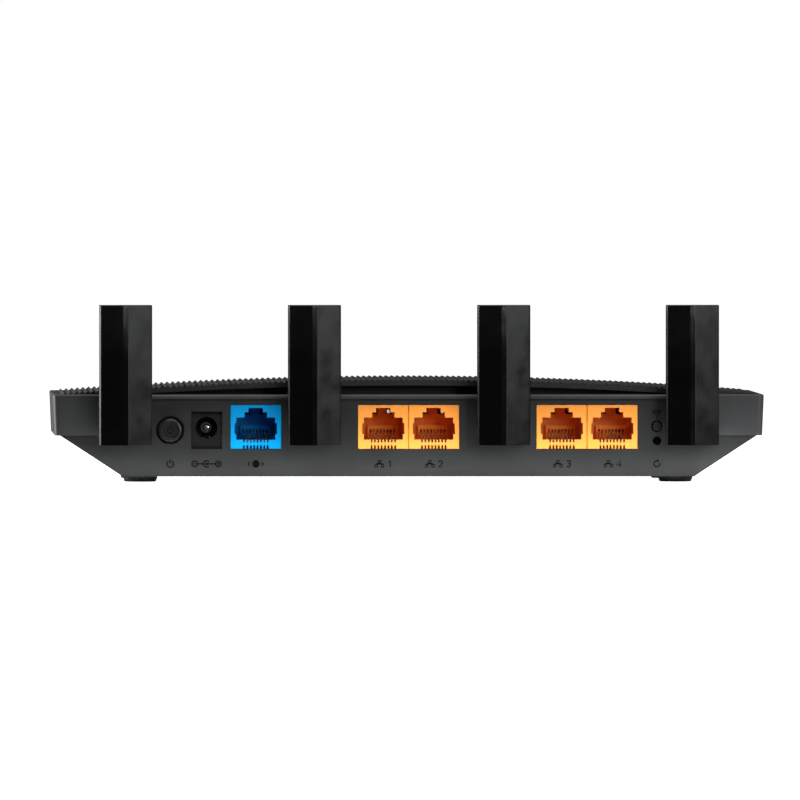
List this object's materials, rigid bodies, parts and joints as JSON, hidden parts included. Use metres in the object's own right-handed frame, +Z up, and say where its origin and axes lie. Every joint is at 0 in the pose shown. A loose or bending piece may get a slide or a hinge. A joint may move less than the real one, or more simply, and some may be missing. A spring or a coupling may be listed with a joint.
{
  "type": "wireless router",
  "caption": "Low desktop wireless router: ribbed crowned vent cover, tapered base, rear port panel with jacks and buttons, hinged flat antennas.",
  "frame": {"origin": "on the desk, in the middle of the footprint with the antennas upright", "axes": "+X to the right as the port panel is faced, +Y towards the indicator side, +Z up"},
  "size_m": [0.215, 0.117, 0.0536],
  "materials": {
    "case_plastic": "fine-grained black ABS",
    "base_plastic": "fine-grained black ABS",
    "cover_plastic": "matt black ABS, ribbed",
    "antenna_plastic": "satin black ABS",
    "antenna_inner_plastic": "fine-grained black ABS",
    "hinge_plastic": "smooth black nylon",
    "steel_pin": "ground steel",
    "foot_rubber": "black rubber",
    "screw_steel": "black zinc",
    "label_paper": "blank silver-grey film",
    "blue_plastic": "moulded blue PBT",
    "orange_plastic": "moulded orange PBT",
    "contact_metal": "plated spring wire",
    "jack_black": "black PBT",
    "nickel": "nickel plate",
    "button_plastic": "satin black ABS",
    "switch_plastic": "black nylon",
    "stem_plastic": "white acetal",
    "circuit_board": "green solder mask",
    "chip_plastic": "epoxy package",
    "thermal_rubber": "soft silicone",
    "sink_aluminium": "extruded",
    "tinplate": "tinned sheet",
    "can_sleeve": "aluminium can",
    "ferrite": "moulded ferrite",
    "led_resin": "clear resin",
    "clear_plastic": "clear acrylic",
    "coax_jacket": "thin black jacket",
    "antenna_board": "thin circuit board"
  },
  "bodies": {
    "housing": {"lower_housing": "base_plastic", "rear_panel": "base_plastic", "vent_deck": "case_plastic", "upper_housing": "case_plastic", "top_cover": "cover_plastic", "rubber_feet": "foot_rubber", "case_screws": "screw_steel", "board_screws": "screw_steel", "rating_label": "label_paper", "main_board": "circuit_board", "soc_chip": "chip_plastic", "thermal_pad": "thermal_rubber", "heat_sink": "sink_aluminium", "shield_cans": "tinplate", "memory_chips": "chip_plastic", "line_transformers": "chip_plastic", "capacitors": "can_sleeve", "power_inductors": "ferrite", "status_leds": "led_resin", "light_guide": "clear_plastic", "wan_jack_housing": "blue_plastic", "wan_jack_contacts": "contact_metal", "lan_jack_left_housing": "orange_plastic", "lan_jack_left_contacts": "contact_metal", "lan_jack_right_housing": "orange_plastic", "lan_jack_right_contacts": "contact_metal", "dc_jack_housing": "jack_black", "dc_jack_pin": "nickel", "dc_jack_spring": "nickel", "power_switch_body": "switch_plastic", "wps_switch_body": "switch_plastic", "reset_switch_body": "switch_plastic", "antenna_retaining_clips": "steel_pin", "coax_leads": "coax_jacket", "coax_plugs": "nickel"},
    "power_button": {"power_button_cap": "button_plastic", "power_switch_stem": "stem_plastic"},
    "wps_button": {"wps_button_cap": "button_plastic", "wps_switch_plunger": "switch_plastic"},
    "reset_button": {"reset_switch_plunger": "switch_plastic"},
    "antenna_1_swivel_base": {"antenna_1_base": "hinge_plastic"},
    "antenna_1_blade": {"antenna_1_shell": "antenna_plastic", "antenna_1_lid": "antenna_inner_plastic", "antenna_1_radiator": "antenna_board", "antenna_1_pin": "steel_pin"},
    "antenna_2_swivel_base": {"antenna_2_base": "hinge_plastic"},
    "antenna_2_blade": {"antenna_2_shell": "antenna_plastic", "antenna_2_lid": "antenna_inner_plastic", "antenna_2_radiator": "antenna_board", "antenna_2_pin": "steel_pin"},
    "antenna_3_swivel_base": {"antenna_3_base": "hinge_plastic"},
    "antenna_3_blade": {"antenna_3_shell": "antenna_plastic", "antenna_3_lid": "antenna_inner_plastic", "antenna_3_radiator": "antenna_board", "antenna_3_pin": "steel_pin"},
    "antenna_4_swivel_base": {"antenna_4_base": "hinge_plastic"},
    "antenna_4_blade": {"antenna_4_shell": "antenna_plastic", "antenna_4_lid": "antenna_inner_plastic", "antenna_4_radiator": "antenna_board", "antenna_4_pin": "steel_pin"}
  },
  "joints": [
    {"name": "antenna_1_swivel", "type": "hinge", "parent": "housing", "child": "antenna_1_swivel_base", "pos_m": [-0.08565, -0.047, 0.016], "axis": [0, 1, 0], "range_deg": [-90, 90]},
    {"name": "antenna_1_tilt", "type": "hinge", "parent": "antenna_1_swivel_base", "child": "antenna_1_blade", "pos_m": [-0.08565, -0.0545, 0.016], "axis": [1, 0, 0], "range_deg": [0, 90]},
    {"name": "antenna_2_swivel", "type": "hinge", "parent": "housing", "child": "antenna_2_swivel_base", "pos_m": [-0.0286, -0.047, 0.016], "axis": [0, 1, 0], "range_deg": [-90, 90]},
    {"name": "antenna_2_tilt", "type": "hinge", "parent": "antenna_2_swivel_base", "child": "antenna_2_blade", "pos_m": [-0.0286, -0.0545, 0.016], "axis": [1, 0, 0], "range_deg": [0, 90]},
    {"name": "antenna_3_swivel", "type": "hinge", "parent": "housing", "child": "antenna_3_swivel_base", "pos_m": [0.0286, -0.047, 0.016], "axis": [0, 1, 0], "range_deg": [-90, 90]},
    {"name": "antenna_3_tilt", "type": "hinge", "parent": "antenna_3_swivel_base", "child": "antenna_3_blade", "pos_m": [0.0286, -0.0545, 0.016], "axis": [1, 0, 0], "range_deg": [0, 90]},
    {"name": "antenna_4_swivel", "type": "hinge", "parent": "housing", "child": "antenna_4_swivel_base", "pos_m": [0.08565, -0.047, 0.016], "axis": [0, 1, 0], "range_deg": [-90, 90]},
    {"name": "antenna_4_tilt", "type": "hinge", "parent": "antenna_4_swivel_base", "child": "antenna_4_blade", "pos_m": [0.08565, -0.0545, 0.016], "axis": [1, 0, 0], "range_deg": [0, 90]},
    {"name": "power_button_press", "type": "slide", "parent": "housing", "child": "power_button", "axis": [0, 1, 0], "range_m": [0, 0.002], "stiffness_N_per_m": 600, "springref_m": -0.0006},
    {"name": "wps_button_press", "type": "slide", "parent": "housing", "child": "wps_button", "axis": [0, 1, 0], "range_m": [0, 0.0004], "stiffness_N_per_m": 2500, "springref_m": -0.0001},
    {"name": "reset_button_press", "type": "slide", "parent": "housing", "child": "reset_button", "axis": [0, 1, 0], "range_m": [0, 0.0003], "stiffness_N_per_m": 3000, "springref_m": -0.0001}
  ]
}
